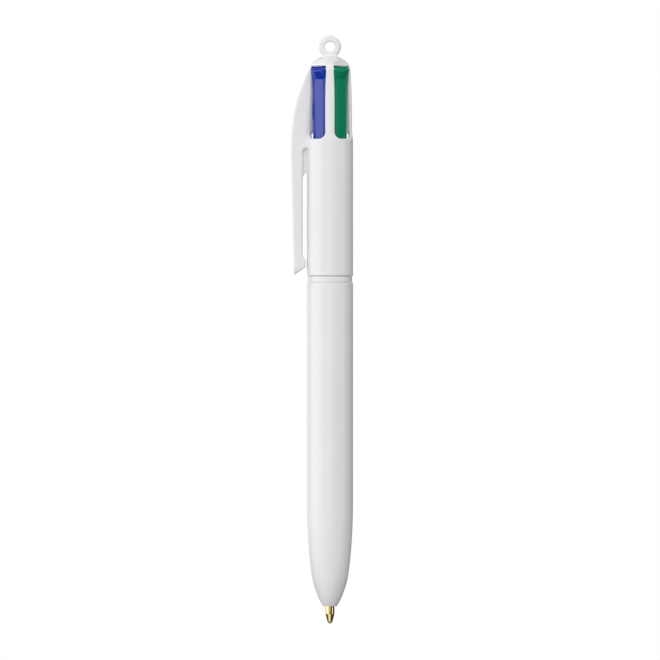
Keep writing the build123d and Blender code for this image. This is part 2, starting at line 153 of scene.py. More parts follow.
def lane_middle(colour):
    """Middle of a colour's lane, across the pen."""
    angle = LANE_ANGLE[colour]
    return LANE_RADIUS * np.array([math.cos(angle), math.sin(angle)])


# ---- Fields: distances below zero inside a shape -----------------------------------------


def meet(a, b, rounding=0.0):
    """What two shapes share, with their common edge rounded."""
    if np.ndim(rounding) == 0 and rounding == 0:
        return np.maximum(a, b)
    corner = np.hypot(np.maximum(a + rounding, 0), np.maximum(b + rounding, 0))
    return np.minimum(-rounding, np.maximum(a, b)) + corner


def join(a, b, rounding=0.0):
    """Two shapes as one, with a fillet where they meet."""
    return -meet(-a, -b, rounding)


def cut(a, b, rounding=0.0):
    """The first shape without the second, with the new edges rounded."""
    return meet(a, -b, rounding)


def smoothstep(start, end, value):
    """0 before start and 1 after end, with a smooth rise between."""
    share = np.clip((value - start) / (end - start), 0, 1)
    return share * share * (3 - 2 * share)


def half_plane(start, end, x, y):
    """Distance from the line through two points, below zero on its left."""
    dx, dy = end[0] - start[0], end[1] - start[1]
    return ((x - start[0]) * dy - (y - start[1]) * dx) / math.hypot(dx, dy)


def along_lane(x, y, angle):
    """Distance along a lane from the axis, and across it."""
    return (
        x * math.cos(angle) + y * math.sin(angle),
        y * math.cos(angle) - x * math.sin(angle),
    )


# ---- Meshes ------------------------------------------------------------------------------


def lines(*stops):
    """Grid lines from each (place, spacing) to the next; the last stop only ends them."""
    made = []
    for (place, spacing), following in zip(stops, stops[1:]):
        count = math.ceil((following[0] - place) / spacing)
        made.extend(np.linspace(place, following[0], count, endpoint=False))
    return np.array(made + [stops[-1][0]])


def to_mesh(name, points, faces, sharp_angle=None):
    """An object with smooth shading from points in millimetres over the nose end."""
    mesh = bpy.data.meshes.new(name)
    places = (np.asarray(points, float) - (0, 0, EYE_HEIGHT)) * MM
    mesh.from_pydata(places.tolist(), [], [list(map(int, face)) for face in faces])
    mesh.validate()
    mesh.shade_smooth()
    if sharp_angle is not None:
        mesh.set_sharp_from_angle(angle=math.radians(sharp_angle))
    piece = bpy.data.objects.new(name, mesh)
    bpy.context.scene.collection.objects.link(piece)
    return piece


PROBE = 0.004  # step that a field's slope is measured over
REACH = 0.12  # furthest that a vertex moves to reach the surface at one go


def pull_to_surface(field, points):
    """Moves points onto the surface of a field, along its slope."""
    for _ in range(3):
        value = field(*points.T)
        slope = np.empty_like(points)
        for axis in range(3):
            shift = np.zeros(3)
            shift[axis] = PROBE
            slope[:, axis] = field(*(points + shift).T) - field(*(points - shift).T)
        slope /= 2 * PROBE
        steep = np.maximum((slope**2).sum(1), 0.05)
        points = points - slope * np.clip(value / steep, -REACH, REACH)[:, None]
    return points


def net(name, field, *grid):
    """A closed mesh of quads over the surface of a field sampled on grid lines."""
    values = field(*np.meshgrid(*grid, indexing="ij"))
    cells = tuple(len(line) - 1 for line in grid)
    total = np.zeros((math.prod(cells), 3))
    hits = np.zeros(math.prod(cells))
    quads = []
    for axis in range(3):
        first = np.moveaxis(np.moveaxis(values, axis, 0)[:-1], 0, axis)
        second = np.moveaxis(np.moveaxis(values, axis, 0)[1:], 0, axis)
        found = np.argwhere((first < 0) != (second < 0))
        a, b = first[tuple(found.T)], second[tuple(found.T)]
        place = np.stack([grid[k][found[:, k]] for k in range(3)], 1)
        place[:, axis] += a / (a - b) * (grid[axis][found[:, axis] + 1] - place[:, axis])
        around = []
        for beside, behind in ((0, 0), (-1, 0), (-1, -1), (0, -1)):
            cell = found.copy()
            cell[:, (axis + 1) % 3] += beside
            cell[:, (axis + 2) % 3] += behind
            index = np.ravel_multi_index(cell.T, cells)
            np.add.at(total, index, place)
            np.add.at(hits, index, 1)
            around.append(index)
        quad = np.stack(around, 1)
        quad[b < a] = quad[b < a][:, ::-1]
        quads.append(quad)
    used = np.flatnonzero(hits)
    number = np.full(len(hits), -1)
    number[used] = np.arange(len(used))
    faces = number[np.concatenate(quads)]
    points = pull_to_surface(field, total[used] / hits[used][:, None])
    edges = np.concatenate([faces[:, [k, (k + 1) % 4]] for k in range(4)])
    for _ in range(2):  # even out the mesh along the surface
        near = np.zeros_like(points)
        count = np.zeros(len(points))
        np.add.at(near, edges[:, 0], points[edges[:, 1]])
        np.add.at(count, edges[:, 0], 1)
        points = pull_to_surface(field, (points + near / count[:, None]) / 2)
    return to_mesh(name, points, faces)


def turned(name, outline, centre=(0, 0), segments=96, shape=None, sharp_angle=35):
    """A turned body from a closed outline of (radius, height), about an upright line.
    centre may be a function of the height, which bends the body, and shape(radius, height,
    angle) may change the radius, as a thread does."""
    outline = np.array(outline, float)
    angles = np.arange(segments) * 2 * math.pi / segments
    radius, height = np.broadcast_arrays(outline[:, :1], outline[:, 1:])
    radius = np.repeat(radius, segments, 1)
    height = np.repeat(height, segments, 1)
    if shape:
        radius = shape(radius, height, angles[None])
    middle_x, middle_y = centre(height) if callable(centre) else centre
    points = np.stack(
        [middle_x + radius * np.cos(angles), middle_y + radius * np.sin(angles), height], 2
    ).reshape(-1, 3)
    faces = []
    for row in range(len(outline)):
        following = (row + 1) % len(outline)
        for k in range(segments):
            beside = (k + 1) % segments
            face = [row * segments + k, row * segments + beside]
            face += [following * segments + beside, following * segments + k]
            faces.append(face)
    on_axis = outline[:, 0] < 1e-6
    number = np.arange(len(points))
    for row in np.flatnonzero(on_axis):
        number[row * segments : (row + 1) * segments] = row * segments
    kept = []
    for face in faces:
        face = list(dict.fromkeys(number[face].tolist()))
        if len(face) > 2:
            kept.append(face)
    used = np.unique(np.concatenate([np.array(face) for face in kept]))
    renumber = {old: new for new, old in enumerate(used.tolist())}
    kept = [[renumber[v] for v in face] for face in kept]
    return to_mesh(name, points[used], kept, sharp_angle)


def rounded(*corners, steps=5):
    """An outline whose corners (radius, height, rounding) are rounded; 0 keeps one sharp."""
    made = []
    places = [np.array(corner[:2], float) for corner in corners]
    for k, corner in enumerate(corners):
        place = places[k]
        rounding = corner[2] if len(corner) > 2 else 0
        if rounding == 0:
            made.append(place)
            continue
        before = places[k - 1] - place
        after = places[(k + 1) % len(places)] - place
        before /= np.linalg.norm(before)
        after /= np.linalg.norm(after)
        half = math.acos(np.clip(before @ after, -1, 1)) / 2
        start = place + before * rounding / math.tan(half)
        end = place + after * rounding / math.tan(half)
        for share in np.linspace(0, 1, steps + 1):
            near = start * (1 - share) ** 2 + place * 2 * share * (1 - share)
            made.append(near + end * share**2)
    return made


def curve(points, first_slope, last_slope, steps=12):
    """A smooth line through points, leaving and arriving in the given directions."""
    points = np.array(points, float)
    slopes = np.empty_like(points)
    slopes[1:-1] = points[2:] - points[:-2]
    slopes[0], slopes[-1] = first_slope, last_slope
    slopes /= np.linalg.norm(slopes, axis=1)[:, None]
    made = []
    for start, end, leave, arrive in zip(points, points[1:], slopes, slopes[1:]):
        reach = np.linalg.norm(end - start)
        for t in np.linspace(0, 1, steps, endpoint=False):
            made.append(
                start * (1 + 2 * t) * (1 - t) ** 2
                + leave * reach * t * (1 - t) ** 2
                + end * t * t * (3 - 2 * t)
                - arrive * reach * t * t * (1 - t)
            )
    return made + [points[-1]]


# ---- Materials ---------------------------------------------------------------------------

DETAIL_SCALE = {"fine": 2600.0, "middle": 420.0, "broad": 55.0}  # per metre


class Finish:
    """A material under construction, with its shader and the nodes that feed it."""

    def __init__(self, name):
        self.material = bpy.data.materials.new(name)
        self.material.use_nodes = True
        self.tree = self.material.node_tree
        self.shader = self.tree.nodes["Principled BSDF"]
        self.places = self.tree.nodes.new("ShaderNodeTexCoord").outputs["Object"]

    def set(self, **values):
        """Constant values of the shader, by socket name with underscores for spaces."""
        for socket, value in values.items():
            self.shader.inputs[socket.replace("_", " ")].default_value = value

    def link(self, output, socket):
        self.tree.links.new(output, socket)

    def noise(self, scale, detail=3.0, stretch=(1, 1, 1)):
        """Noise of so many grains to the metre, in the object's own frame."""
        mapping = self.tree.nodes.new("ShaderNodeMapping")
        mapping.inputs["Scale"].default_value = stretch
        self.link(self.places, mapping.inputs["Vector"])
        noise = self.tree.nodes.new("ShaderNodeTexNoise")
        noise.inputs["Scale"].default_value = scale
        noise.inputs["Detail"].default_value = detail
        self.link(mapping.outputs["Vector"], noise.inputs["Vector"])
        return noise.outputs["Fac"]

    def span(self, value, start, end, low_in=0.3, high_in=0.7):
        """A value mapped from its usual reach to start..end."""
        node = self.tree.nodes.new("ShaderNodeMapRange")
        node.inputs["From Min"].default_value = low_in
        node.inputs["From Max"].default_value = high_in
        node.inputs["To Min"].default_value = start
        node.inputs["To Max"].default_value = end
        self.link(value, node.inputs["Value"])
        return node.outputs["Result"]

    def mix(self, share, first, second):
        """A colour between two, as share goes from 0 to 1."""
        node = self.tree.nodes.new("ShaderNodeMix")
        node.data_type = "RGBA"
        colours = [s for s in node.inputs if s.type == "RGBA"]
        colours[0].default_value, colours[1].default_value = (*first, 1), (*second, 1)
        self.link(share, node.inputs["Factor"])
        return [s for s in node.outputs if s.type == "RGBA"][0]

    def bump(self, value, height, chained=None):
        """Relief of so many millimetres, from a value between 0 and 1."""
        node = self.tree.nodes.new("ShaderNodeBump")
        node.inputs["Distance"].default_value = height * MM
        node.inputs["Strength"].default_value = 1.0
        self.link(value, node.inputs["Height"])
        if chained:
            self.link(chained, node.inputs["Normal"])
        return node.outputs["Normal"]


def shade(colour, share):
    """A colour darkened or lightened by a share."""
    return tuple(min(1.0, channel * share) for channel in colour)


def plastic(name, colour, dark, roughness, spread, grain, **values):
    """Moulded plastic: broad changes of colour, a mottled gloss and a fine moulded grain."""
    finish = Finish(name)
    finish.set(**values)
    broad = finish.span(finish.noise(DETAIL_SCALE["broad"]), 0, 1)
    finish.link(finish.mix(broad, dark, colour), finish.shader.inputs["Base Color"])
    mottle = finish.noise(DETAIL_SCALE["broad"] * 2, detail=2)
    finish.link(
        finish.span(mottle, roughness - spread, roughness + spread, 0.1, 0.9),
        finish.shader.inputs["Roughness"],
    )
    ripple = finish.bump(finish.noise(DETAIL_SCALE["middle"] / 2, detail=1), grain)
    relief = finish.bump(finish.noise(DETAIL_SCALE["fine"], detail=4), grain / 4, ripple)
    finish.link(relief, finish.shader.inputs["Normal"])
    return finish.material


def metal(name, bright, dull, roughness, spread, stretch, grooves):
    """Turned or drawn metal: colour and gloss vary, with marks left along one direction."""
    finish = Finish(name)
    finish.set(Metallic=1.0)
    broad = finish.span(finish.noise(DETAIL_SCALE["middle"]), 0, 1)
    finish.link(finish.mix(broad, dull, bright), finish.shader.inputs["Base Color"])
    marks = finish.noise(DETAIL_SCALE["middle"], detail=6, stretch=stretch)
    finish.link(
        finish.span(marks, roughness - spread, roughness + spread),
        finish.shader.inputs["Roughness"],
    )
    finish.link(finish.bump(marks, grooves), finish.shader.inputs["Normal"])
    return finish.material


WHITE = (0.83, 0.83, 0.84)
INNER_WHITE = (0.66, 0.67, 0.68)
SLIDER_COLOUR = {
    "blue": (0.002, 0.03, 0.38),
    "green": (0.0, 0.26, 0.12),
    "red": (0.52, 0.008, 0.014),
    "black": (0.011, 0.011, 0.013),
}

white_plastic = plastic(
    "white_moulded_plastic", WHITE, shade(WHITE, 0.985),
    roughness=0.3, spread=0.03, grain=0.002, Specular_IOR_Level=0.5,
)
inner_plastic = plastic(
    "inner_moulded_plastic", INNER_WHITE, shade(INNER_WHITE, 0.93),
    roughness=0.45, spread=0.06, grain=0.004,
)
slider_plastic = {
    c: plastic(
        f"{c}_moulded_plastic", colour, shade(colour, 0.9), roughness=0.2, spread=0.03, grain=0.0015
    )
    for c, colour in SLIDER_COLOUR.items()
}
ink_finish = {
    c: plastic(
        f"{c}_ink_paste", shade(colour, 0.6), shade(colour, 0.4),
        roughness=0.12, spread=0.04, grain=0.01,
    )
    for c, colour in SLIDER_COLOUR.items()
}
tube_plastic = plastic(
    "refill_tube_plastic", (0.86, 0.88, 0.89), (0.8, 0.83, 0.85),
    roughness=0.22, spread=0.05, grain=0.003, Transmission_Weight=0.75, IOR=1.48,
)
brass = metal(
    "turned_brass", (0.9, 0.7, 0.33), (0.82, 0.6, 0.24),
    roughness=0.17, spread=0.05, stretch=(1, 1, 30), grooves=0.003,
)
spring_steel = metal(
    "drawn_spring_steel", (0.62, 0.62, 0.63), (0.45, 0.45, 0.47),
    roughness=0.25, spread=0.08, stretch=(3, 3, 1), grooves=0.004,
)
ball_steel = metal(
    "polished_ball", (0.75, 0.75, 0.77), (0.6, 0.6, 0.62),
    roughness=0.09, spread=0.03, stretch=(1, 1, 1), grooves=0.0005,
)


def dress(piece, material, slot, body, *nodes):
    """Gives a finished piece its material and body, in place of its CAD nodes; its slot is not
    used.
    """
    piece.data.materials.append(material)
    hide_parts(*nodes)
    if body:
        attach(piece, body)
    return piece


# ---- Upper barrel ------------------------------------------------------------------------

clip_back_line = np.array([CLIP_BACK_TIP, *curve(CLIP_BACK, (1, 0), (1, 0.45))])


def body_radius(height):
    """Outer radius of the upper barrel, which narrows where the slots begin."""
    taper = np.clip((height - WAIST_TOP) / (SHOULDER_HEIGHT - WAIST_TOP), 0, 2)
    step = smoothstep(WAIST_BOTTOM, WAIST_TOP, height)
    return BARREL_RADIUS - WAIST_STEP * step - WAIST_TAPER * taper**3


def clip_field(x, y, height):
    """The clip with its root on the barrel, its tip and the bump that grips."""
    back = np.interp(height, *clip_back_line.T) - x
    bump = np.hypot(x - BUMP_CENTRE[0], height - BUMP_CENTRE[1]) - BUMP_RADIUS
    root = meet(x + LANE_BORE_RADIUS, CLIP_ROOT_BOTTOM - height)
    side = join(join(x - CLIP_FACE, bump, CLIP_BUMP_FILLET), root, CLIP_ROOT_FILLET)
    side = meet(side, half_plane(CLIP_TIP_LOW, CLIP_TIP_NEAR, x, height), CLIP_TIP_EDGE)
    side = meet(meet(side, back, CLIP_BACK_EDGE), height - CLIP_BACK[-1][0])
    return meet(side, abs(y) - np.interp(height, *zip(*CLIP_HALF_WIDTH)), CLIP_EDGE)


def web_field(x, y, height):
    """The thin fin between the barrel and the clip, under the clip's root."""
    side = meet(meet(x + UPPER_BORE_RADIUS, WEB_OUTER - x), WEB_BOTTOM - height)
    hollow = np.hypot(x - WEB_HOLLOW_CENTRE[0], height - WEB_HOLLOW_CENTRE[1]) - WEB_HOLLOW_RADIUS
    side = meet(cut(side, hollow), height - CLIP_ROOT_BOTTOM - 1)
    return meet(side, abs(y) - WEB_HALF_THICKNESS, WEB_EDGE)


def eye_field(x, y, height):
    """The lanyard eye on its neck."""
    distance = np.hypot(x, height - EYE_HEIGHT)
    ring = meet(distance - EYE_RADIUS, abs(y) - EYE_HALF_THICKNESS, EYE_EDGE)
    ring = meet(ring, EYE_HOLE_RADIUS - distance, EYE_MOUTH_EDGE)
    neck = meet(abs(x) - NECK_HALF_WIDTH, abs(y) - EYE_HALF_THICKNESS, NECK_EDGE)
    neck = meet(neck, abs(height - (NECK_BOTTOM + NECK_TOP) / 2) - (NECK_TOP - NECK_BOTTOM) / 2)
    return join(ring, cut(neck, distance - EYE_RADIUS + NECK_OVERLAP), NECK_FILLET)


def bore_field(radius, height):
    """The stepped bore, from the socket for the lower barrel up to the slots."""
    socket = meet(radius - SOCKET_RADIUS, height - SOCKET_TOP)
    bead = meet(radius - BEAD_RADIUS, height - BEAD_TOP - 1)
    bore = meet(radius - UPPER_BORE_RADIUS, BEAD_TOP - height)
    bore = meet(bore, height - UPPER_BORE_TOP, BORE_FILLET)
    off_top = abs(height - UPPER_BORE_TOP)
    bore = join(bore, meet(radius - THROAT_RADIUS, off_top - THROAT_TOP + UPPER_BORE_TOP))
    lanes = meet(radius - LANE_BORE_RADIUS, height - SLOT_TOP)
    stub_hole = meet(radius - STUB_HOLE_RADIUS, height - STUB_HOLE_TOP)
    return join(join(join(socket, bead, 0), join(bore, lanes, BORE_FILLET)), stub_hole)


def upper_barrel_field(x, y, height):
    """The whole upper barrel: body, dome, clip, web, bore, four slots and the eye."""
    radius = np.hypot(x, y)
    dome = np.hypot(radius, np.maximum(height - DOME_TOP + DOME_RADIUS, 0)) - DOME_RADIUS
    body = meet(radius - body_radius(height), dome, DOME_EDGE)
    body = meet(body, SEAM_HEIGHT - height, SEAM_EDGE)
    body = join(body, clip_field(x, y, height), CLIP_FILLET)
    body = join(body, web_field(x, y, height), WEB_FILLET)
    body = cut(body, bore_field(radius, height), BORE_EDGE)
    edge = SLOT_EDGE + (LINTEL_EDGE - SLOT_EDGE) * smoothstep(*SLOT_EDGE_CHANGE, height)
    for angle in LANE_ANGLE.values():
        along, across = along_lane(x, y, angle)
        half = np.interp(height, [SLOT_BOTTOM, SLOT_TOP], [SLOT_BOTTOM_HALF, SLOT_TOP_HALF])
        slot = meet(abs(across) - half, SLOT_BOTTOM - height, SLOT_CORNER)
        slot = meet(meet(slot, height - SLOT_TOP), -along)
        body = cut(body, slot, edge)
        sill = half_plane((LINTEL_FACE, LINTEL_HEIGHT), (LINTEL_SILL, SLOT_TOP), along, height)
        flat = meet(meet(LINTEL_FACE - along, sill), SLOT_TOP - height)
        body = cut(body, flat, LINTEL_EDGE)
    return join(body, eye_field(x, y, height), EYE_FILLET)


FINE = 0.2  # spacing of the grid lines where the shape has detail
MARGIN = 0.5  # how far a grid reaches beyond the ends of its shape
GRID_SIDE, GRID_CLIP_SIDE = 6.2, -10.3
upper_barrel = net(
    "upper_barrel_moulding",
    upper_barrel_field,
    lines((GRID_CLIP_SIDE, FINE), (GRID_SIDE, 0)),
    lines((-GRID_SIDE, FINE), (GRID_SIDE, 0)),
    lines((SEAM_HEIGHT - MARGIN, FINE), (89.5, 0.7), (91.5, FINE), (94, 0.8), (107.5, FINE),
          (123.5, 0.4), (130.0, FINE), (high("upper_barrel") + MARGIN, 0)),
)
dress(upper_barrel, white_plastic, "white_plastic", "upper_body", "upper_barrel")

# ---- Lower barrel ------------------------------------------------------------------------

NOSE_CURVE = [(1.71, 0.0), (3.17, 2.8), (4.6, 7.7), (5.7, 20.0), (BARREL_RADIUS, 38.0)]
NOSE_LIP = [(1.71, 0, 0.14), (1.75, 0.07, 0)]  # radius, height, rounding
NOSE_HOLE_RADIUS, NOSE_HOLE_TOP = 1.2, 1.3
FUNNEL = [(4.75, 17.0, 0.5), (4.36, 11.0, 0.5), (3.98, 7.4, 0.5), (3.3, 4.9)]
LOWER_BORE = [(4.75, 78.25), (4.75, 60), (4.75, 40)]
BAND_BOTTOM, BAND_TOP, BAND_RADIUS = 82.12, 83.75, 5.62
BAND_GROOVE, BAND_GROOVE_TOP = 5.42, 82.32
SPIGOT_RADIUS, SPIGOT_BORE_RADIUS = 5.1, 4.4
SPIGOT_BORE_BOTTOM = 80.25
THREAD_PITCH, THREAD_DEPTH = 1.25, 0.28
THREAD_STEPS = 12  # rows of the mesh in one pitch
THREAD_FADE, THREAD_CREST_POWER = 0.7, 0.8
THREAD_BOTTOM, THREAD_TOP = BAND_TOP + 1.2, SPIGOT_TOP - 0.6


def thread(radius, height, angle):
    """A coil of rounded thread on the spigot, cut into its radius."""
    turn = height / THREAD_PITCH - angle / (2 * math.pi)
    groove = 0.5 + 0.5 * np.cos(2 * math.pi * turn)
    fade = smoothstep(THREAD_BOTTOM, THREAD_BOTTOM + THREAD_FADE, height)
    fade = fade * (1 - smoothstep(THREAD_TOP - THREAD_FADE, THREAD_TOP, height))
    outside = radius > (SPIGOT_RADIUS + SPIGOT_BORE_RADIUS) / 2
    on_spigot = outside & (height > THREAD_BOTTOM) & (height < THREAD_TOP)
    return np.where(on_spigot, radius - THREAD_DEPTH * groove**THREAD_CREST_POWER * fade, radius)


nose = curve(NOSE_CURVE, (0.6, 1), (0, 1))[1:]
outline = [
    *rounded((NOSE_HOLE_RADIUS, NOSE_HOLE_TOP, 0), (NOSE_HOLE_RADIUS, 0, 0.12), *NOSE_LIP)[:-2],
    *[(min(radius, BARREL_RADIUS), height) for radius, height in nose],
    *[(BARREL_RADIUS, height) for height in np.linspace(41, 80, 14)],
    *rounded(
        (BARREL_RADIUS, 81.0), (BARREL_RADIUS, BAND_BOTTOM, 0.07), (BAND_GROOVE, BAND_BOTTOM, 0.04),
        (BAND_GROOVE, BAND_GROOVE_TOP, 0.04), (BAND_RADIUS, BAND_GROOVE_TOP, 0.04),
        (BAND_RADIUS, BAND_TOP, 0.05), (SPIGOT_RADIUS, BAND_TOP, 0.1),
        (SPIGOT_RADIUS, BAND_TOP + 1),
    ),
    *[
        (SPIGOT_RADIUS, height)
        for height in np.arange(THREAD_BOTTOM, THREAD_TOP, THREAD_PITCH / THREAD_STEPS)
    ],
    *rounded(
        (SPIGOT_RADIUS, THREAD_TOP), (SPIGOT_RADIUS, SPIGOT_TOP, 0.3),
        (SPIGOT_BORE_RADIUS, SPIGOT_TOP, 0.1), (SPIGOT_BORE_RADIUS, SPIGOT_BORE_BOTTOM),
        *LOWER_BORE, *FUNNEL,
    ),
]
lower_barrel = turned("lower_barrel_moulding", outline, segments=160, shape=thread)
dress(lower_barrel, white_plastic, "white_plastic", "lower_barrel", "lower_barrel")

# ---- Pushers -----------------------------------------------------------------------------


def pusher_field(colour):
    """The field of a colour's pusher: strip, thumb head, latch tooth, flange, stem and peg."""

    def field(x, y, height):
        along, across = along_lane(x, y, LANE_ANGLE[colour])
        height = height + DROP[colour]
        crown = np.hypot(along - PANEL_CROWN + PANEL_CROWN_RADIUS, across) - PANEL_CROWN_RADIUS
        panel = meet(abs(across) - PANEL_HALF_WIDTH, height - PANEL_TOP, PANEL_CORNER)
        front = join(along - STRIP_OUTER, meet(panel, crown, PANEL_EDGE), PANEL_FILLET)
        flare = np.clip((height - HEAD_BOTTOM) / (HEAD_BROW - HEAD_BOTTOM), 0, HEAD_FLARE_END)
        reach = HEAD_FOOT + (HEAD_REACH - HEAD_FOOT) * flare**HEAD_FLARE_POWER
        sag = HEAD_FOOT_SAG + (HEAD_BROW_SAG - HEAD_FOOT_SAG) * flare
        face = (along - reach + sag * (across / STRIP_HALF_WIDTH) ** 2) * HEAD_FACE_SLOPE
        front = join(front, meet(face, HEAD_BOTTOM - height), HEAD_FILLET)
        edge = STRIP_EDGE + (HEAD_EDGE - STRIP_EDGE) * smoothstep(*HEAD_EDGE_CHANGE, height)
        body = meet(abs(across) - STRIP_HALF_WIDTH, front, edge)
        body = meet(body, meet(STRIP_INNER - along, STRIP_BOTTOM - height), INNER_EDGE)
        for start, end in zip(HEAD_TOP, HEAD_TOP[1:]):
            body = meet(body, half_plane(start, end, along, height), HEAD_ROUND)
        tooth = meet(abs(across) - TOOTH_HALF_WIDTH, TOOTH_INNER - along, INNER_EDGE)
        tooth = meet(tooth, meet(TOOTH_BOTTOM - height, height - TOOTH_TOP), INNER_EDGE)
        body = join(body, meet(tooth, along - STRIP_INNER - TOOTH_OVERLAP), INNER_EDGE)
        off_lane = np.hypot(along - LANE_RADIUS, across)
        for radius, bottom, top in (FLANGE, STEM, PEG):
            round_bar = meet(off_lane - radius, meet(bottom - height, height - top), INNER_EDGE)
            body = join(body, round_bar)
        return body

    return field


PUSHER_FINE = 0.12

for c in COLOURS:
    corner, opposite = (np.array(end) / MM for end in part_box(f"{c}_pusher"))
    bottom, top = low(f"{c}_pusher"), high(f"{c}_pusher")
    below_head = top - 4.5 - 5
    pusher = net(
        f"{c}_pusher_moulding",
        pusher_field(c),
        lines((corner[0] - MARGIN, PUSHER_FINE), (opposite[0] + MARGIN, 0)),
        lines((corner[1] - MARGIN, PUSHER_FINE), (opposite[1] + MARGIN, 0)),
        lines((bottom - MARGIN, PUSHER_FINE), (bottom + 9, 0.4), (below_head, PUSHER_FINE),
              (top + MARGIN, 0)),
    )
    dress(pusher, slider_plastic[c], f"{c}_plastic", f"{c}_pusher", f"{c}_pusher")

# ---- Springs -----------------------------------------------------------------------------

SPRING_TURNS = 10
SPRING_RADIUS, WIRE_RADIUS = 1.62, 0.16
CLOSED_TURNS = 1.0  # turns at each end that lie flat
COIL_STEPS, WIRE_SIDES = 480, 12


def coil(name, centre, bottom, top):
    """A compression spring of round wire, with closed ends."""
    whole = SPRING_TURNS + 2 * CLOSED_TURNS
    turns = np.linspace(0, whole, COIL_STEPS + 1)
    shut = 2.1 * WIRE_RADIUS  # rise of a closed turn, just clear of the next one
    height = np.interp(
        turns,
        [0, CLOSED_TURNS, whole - CLOSED_TURNS, whole],
        [bottom, bottom + shut, top - shut, top],
    )
    angle = turns * 2 * math.pi
    line = np.stack(
        [
            centre[0] + SPRING_RADIUS * np.cos(angle),
            centre[1] + SPRING_RADIUS * np.sin(angle),
            height,
        ],
        1,
    )
    ahead = np.gradient(line, axis=0)
    ahead /= np.linalg.norm(ahead, axis=1)[:, None]
    outward = np.stack([np.cos(angle), np.sin(angle), np.zeros_like(angle)], 1)
    upward = np.cross(ahead, outward)
    around = np.arange(WIRE_SIDES) * 2 * math.pi / WIRE_SIDES
    rings = (
        line[:, None]
        + WIRE_RADIUS * np.cos(around)[None, :, None] * outward[:, None]
        + WIRE_RADIUS * np.sin(around)[None, :, None] * upward[:, None]
    )
    faces = [list(range(WIRE_SIDES - 1, -1, -1))]
    for row in range(COIL_STEPS):
        here, following = row * WIRE_SIDES, (row + 1) * WIRE_SIDES
        for k in range(WIRE_SIDES):
            beside = (k + 1) % WIRE_SIDES
            faces.append([here + k, here + beside, following + beside, following + k])
    faces.append(list(range(COIL_STEPS * WIRE_SIDES, (COIL_STEPS + 1) * WIRE_SIDES)))
    return to_mesh(name, rings.reshape(-1, 3), faces)


for c in COLOURS:
    bottom, top = low(f"{c}_spring") + WIRE_RADIUS, high(f"{c}_spring") - WIRE_RADIUS
    spring = coil(f"{c}_coil_spring", lane_middle(c), bottom, top)
    dress(spring, spring_steel, "spring_steel", None, f"{c}_spring")
    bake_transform(spring)

# ---- Refills -----------------------------------------------------------------------------

BEND_TOP, BEND_BOTTOM = 75.0, 37.0
TUBE_RADIUS, TUBE_BORE_RADIUS, TUBE_EDGE = 1.25, 0.95, 0.08
INK_RADIUS, INK_CROWN = 0.92, 0.5


def bend_of(colour):
    """The middle of a refill at a height: in its lane above the bend, over its point below it."""
    lane = lane_middle(colour)
    foot = middle(f"{colour}_refill_point")

    def centre(height):
        share = smoothstep(-BEND_TOP, -BEND_BOTTOM, -(height + DROP[colour]))
        return lane[0] + share * (foot[0] - lane[0]), lane[1] + share * (foot[1] - lane[1])

    return centre


for c in COLOURS:
    tube_bottom, tube_top = low(f"{c}_refill_tube"), high(f"{c}_refill_tube")
    heights = np.linspace(tube_bottom + 0.5, tube_top - 0.5, 70)
    tube = turned(
        f"{c}_tube",
        [
            *rounded(
                (TUBE_RADIUS, heights[0]), (TUBE_RADIUS, tube_bottom, TUBE_EDGE),
                (TUBE_BORE_RADIUS, tube_bottom, TUBE_EDGE), (TUBE_BORE_RADIUS, heights[0]),
            )[::-1],
            *[(TUBE_BORE_RADIUS, height) for height in heights[1:-1]],
            *rounded(
                (TUBE_BORE_RADIUS, heights[-1]), (TUBE_BORE_RADIUS, tube_top, TUBE_EDGE),
                (TUBE_RADIUS, tube_top, TUBE_EDGE), (TUBE_RADIUS, heights[-1]),
            ),
            *[(TUBE_RADIUS, height) for height in heights[-2:0:-1]],
        ][::-1],
        centre=bend_of(c),
        segments=40,
    )
    dress(tube, tube_plastic, "refill_tube_plastic", None, f"{c}_refill_tube")
    ink_bottom, ink_top = low(f"{c}_ink"), high(f"{c}_ink")
    ink = turned(
        f"{c}_ink_column",
        [
            (0, ink_bottom),
            *[(INK_RADIUS, height) for height in np.linspace(ink_bottom, ink_top - 0.1, 60)],
            (INK_RADIUS - 0.06, ink_top),
            *[
                (INK_RADIUS * share, ink_top - INK_CROWN * (1 - share**2))
                for share in (0.85, 0.6, 0.3, 0)
            ],
        ],
        centre=bend_of(c),
        segments=32,
    )
    dress(ink, ink_finish[c], f"{c}_ink", None, f"{c}_ink")
    for piece in (tube, ink):
        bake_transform(piece)

# ---- Points and balls --------------------------------------------------------------------

BALL_RADIUS, SEAT_RADIUS = 0.5, 0.52
POINT_OUTLINE = [  # radius, height above the lowest point of the ball, rounding
    (0.4, 0.9), (0.4, 20.0), (0.94, 20.0, 0.1), (0.94, 15.4, 0.05), (1.25, 15.4, 0.08),
    (1.25, 14.3, 0.12), (1.13, 13.9, 0.1), (1.13, 8.0), (1.13, 2.42, 0.12),
    (0.87, 1.45, 0.8), (0.57, 0.34, 0.05), (0.50, 0.36),
]

